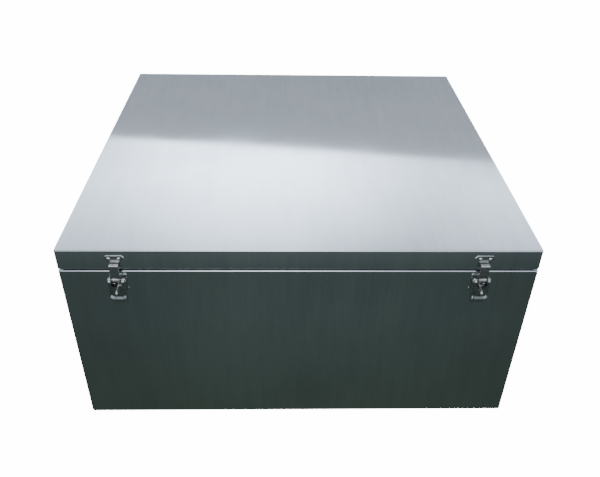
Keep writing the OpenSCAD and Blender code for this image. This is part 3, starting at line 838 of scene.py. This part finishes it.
@dataclass
class Studio:
    """A pale floor and sky, plain white to the camera, and what the satin sheet reflects.

    Reflections see a dark card round the foot of the box, a grey screen behind it and a sky that
    is brightest behind the box. Sizes and places are in metres, and the sky's bands are degrees
    above the horizon, each with its brightness.
    """

    white_glow: float = 14.0
    floor_size: float = 40.0
    floor_white: float = 0.82
    floor_shade: float = 0.80
    floor_patches: Cloud = Cloud(0.5)
    floor_roughness: float = 0.9
    floor_specular: float = 0.1
    card_size: float = 3.6
    card_lift: float = 0.4 * MM
    # Painted shade: the card's colour close to the box is darkened as if shaded at the box's foot.
    card_shaded_near: Colour = (0.049, 0.068, 0.058)
    card_middle: Colour = (0.062, 0.084, 0.080)
    card_middle_reach: Span = (0.30, 0.50)
    card_far: Colour = (0.108, 0.130, 0.140)
    card_far_reach: Span = (0.63, 0.74)
    card_corner: float = 0.83
    card_corner_reach: Span = (0.10, 0.36)
    screen_y: float = 3.3
    screen_half: float = 4.5
    screen_foot_z: float = -0.5
    screen_edge_z: float = 1.898
    screen_edge_slope: float = 0.0704
    screen_bow_x: float = 0.1
    screen_bow_rise: float = 0.035
    screen_low: Colour = (0.42, 0.467, 0.54)
    screen_high: Colour = (0.515, 0.57, 0.645)
    screen_fade_z: Span = (1.35, 1.9)
    sky_glow: float = 4.9
    sky_horizon: Colour = (0.58, 0.59, 0.60)
    sky_zenith: Colour = (0.42, 0.45, 0.47)
    sky_tint: Colour = (0.82, 0.94, 1.10)
    sky_bands: tuple[Span, ...] = ((20.0, 0.85), (28.0, 1.0), (35.0, 0.37))
    sky_turn: float = 0.04
    sky_side_share: float = 0.46
    sky_side_span: Span = (0.02, 0.28)
    sky_front_share: float = 0.70
    sky_front_span: Span = (-0.1, 0.35)
    key_power: float = 110.0
    key_size: float = 2.4
    key_place: Vector = Vector((-1.6, -1.9, 3.4))
    key_aim: Vector = Vector((0.0, 0.0, 0.2))

    def only_in_reflections(self, card: bpy.types.Object) -> None:
        """Leaves a card out of everything but reflections.

        Args:
            card: The card.
        """
        card.visible_camera = False
        card.visible_diffuse = False
        card.visible_transmission = False
        card.visible_volume_scatter = False
        card.visible_shadow = False

    def plane(self, name: str, size: float, height: float = 0.0) -> bpy.types.Object:
        """Adds a level square round the origin.

        Args:
            name: Name of the object.
            size: Length of its sides.
            height: Its height over the floor.

        Returns:
            The square.
        """
        bpy.ops.object.select_all(action="DESELECT")
        bpy.ops.mesh.primitive_plane_add(size=size, location=(0, 0, height))
        piece = bpy.context.active_object
        piece.name = name
        return piece

    def glow(self, name: str) -> tuple[Shader, bpy.types.Node]:
        """Makes a material that only shines.

        Args:
            name: Name of the material.

        Returns:
            Its shader and its emission node.
        """
        shader = Shader(name)
        lamp = shader.add("ShaderNodeEmission")
        output = shader.tree.nodes["Material Output"]
        shader.feed(output.inputs["Surface"], lamp.outputs["Emission"])
        return shader, lamp

    def floor(self) -> None:
        """Lays the pale floor, which glows only for the camera."""
        piece = self.plane("studio_floor", self.floor_size)
        shader = Shader("studio_floor")
        tone = shader.remap(shader.noise(self.floor_patches), WHOLE_SPAN)
        seen = shader.add("ShaderNodeLightPath").outputs["Is Camera Ray"]
        shader.finish(
            Base_Color=shader.mix(tone, (self.floor_white,) * 3, (self.floor_shade,) * 3),
            Roughness=self.floor_roughness,
            Specular_IOR_Level=self.floor_specular,
            Emission_Color=(1.0, 1.0, 1.0),
            Emission_Strength=shader.math("MULTIPLY", seen, self.white_glow),
        )
        piece.data.materials.append(shader.material)

    def ground_card(self) -> None:
        """Lays a dark green card round the foot of the box, with painted shade that darkens it close to the box, and
        darker towards its corners.
        """
        piece = self.plane("ground_card", self.card_size, self.card_lift)
        shader, lamp = self.glow("ground_card")
        split = shader.split(shader.place)
        aside = shader.math("ABSOLUTE", split["X"])
        ahead = shader.math("ABSOLUTE", split["Y"])
        reach = shader.math("MAXIMUM", aside, ahead)
        # Within the middle reach the card turns from the painted shade close to the box to its plain middle colour.
        middle = shader.remap(reach, WHOLE_SPAN, self.card_middle_reach)
        far = shader.remap(reach, WHOLE_SPAN, self.card_far_reach)
        colour = shader.mix(far, shader.mix(middle, self.card_shaded_near, self.card_middle), self.card_far)
        corner = shader.math("MINIMUM", aside, ahead)
        dimmed = shader.remap(corner, (1.0, self.card_corner), self.card_corner_reach)
        shader.feed(lamp.inputs["Color"], colour)
        shader.feed(lamp.inputs["Strength"], dimmed)
        piece.data.materials.append(shader.material)
        self.only_in_reflections(piece)

    def screen(self) -> None:
        """Stands a grey screen behind the box, with a slanted and slightly bowed upper edge."""
        half = self.screen_half
        rise = self.screen_edge_slope * half
        outline = [
            (-half, self.screen_foot_z),
            (half, self.screen_foot_z),
            (half, self.screen_edge_z + rise),
            (self.screen_bow_x, self.screen_edge_z + self.screen_bow_rise),
            (-half, self.screen_edge_z - rise),
        ]
        mesh = bpy.data.meshes.new("screen")
        mesh.from_pydata([(x, self.screen_y, z) for x, z in outline], [], [range(len(outline))])
        piece = bpy.data.objects.new("screen", mesh)
        bpy.context.scene.collection.objects.link(piece)
        shader, lamp = self.glow("screen")
        high = shader.remap(shader.split(shader.place)["Z"], WHOLE_SPAN, self.screen_fade_z)
        shader.feed(lamp.inputs["Color"], shader.mix(high, self.screen_low, self.screen_high))
        mesh.materials.append(shader.material)
        self.only_in_reflections(piece)

    def sky(self) -> None:
        """Hangs the sky: graded for reflections and plain white for the camera."""
        world = bpy.data.worlds.new("sky")
        shader = Shader.around(world)
        split = shader.split(shader.place)
        ramp = shader.add("ShaderNodeValToRGB")
        shader.feed(ramp.inputs["Fac"], split["Z"])
        horizon, zenith = ramp.color_ramp.elements
        horizon.color = (*self.sky_horizon, 1.0)
        zenith.color = (*self.sky_zenith, 1.0)
        for degrees, share in self.sky_bands:
            band = ramp.color_ramp.elements.new(math.sin(math.radians(degrees)))
            band.color = (*(share * part for part in self.sky_tint), 1.0)
        aside = shader.math("ABSOLUTE", shader.math("ADD", split["X"], self.sky_turn))
        side_glow = (self.sky_glow, self.sky_glow * self.sky_side_share)
        glow = shader.remap(aside, side_glow, self.sky_side_span, soft=True)
        behind = shader.remap(split["Y"], (self.sky_front_share, 1.0), self.sky_front_span, soft=True)
        graded = shader.tree.nodes["Background"]
        shader.feed(graded.inputs["Color"], ramp.outputs["Color"])
        shader.feed(graded.inputs["Strength"], shader.math("MULTIPLY", glow, behind))
        plain = shader.add("ShaderNodeBackground")
        shader.feed(plain.inputs["Color"], (1.0, 1.0, 1.0))
        shader.feed(plain.inputs["Strength"], self.white_glow)
        both = shader.add("ShaderNodeMixShader")
        seen = shader.add("ShaderNodeLightPath").outputs["Is Camera Ray"]
        sources = (seen, graded.outputs["Background"], plain.outputs["Background"])
        for socket, source in zip(both.inputs, sources):
            shader.feed(socket, source)
        shader.feed(shader.tree.nodes["World Output"].inputs["Surface"], both.outputs["Shader"])
        bpy.context.scene.world = world

    def key_light(self) -> None:
        """Hangs a large soft lamp above the front left, unseen in reflections."""
        data = bpy.data.lights.new("key_light", "AREA")
        data.energy = self.key_power
        data.size = self.key_size
        lamp = bpy.data.objects.new("key_light", data)
        towards = self.key_aim - self.key_place
        lamp.rotation_euler = towards.to_track_quat("-Z", "Y").to_euler()
        lamp.location = self.key_place
        lamp.visible_glossy = False
        bpy.context.scene.collection.objects.link(lamp)

    def build(self) -> None:
        """Sets the whole stage."""
        self.floor()
        self.ground_card()
        self.screen()
        self.sky()
        self.key_light()


def main() -> None:
    """Builds the sub-assemblies in order and sets the studio around them."""
    logging.basicConfig(level=logging.INFO, format="%(name)s: %(message)s")
    finishes = Finishes()
    Viewpoint().build()
    CaseBody(finishes).build()
    PlugLid(finishes).build()
    RolledHinge(finishes).build()
    for side in Side:
        ToggleLatch(finishes, side).build()
    Studio().build()


if __name__ == "__main__":
    main()
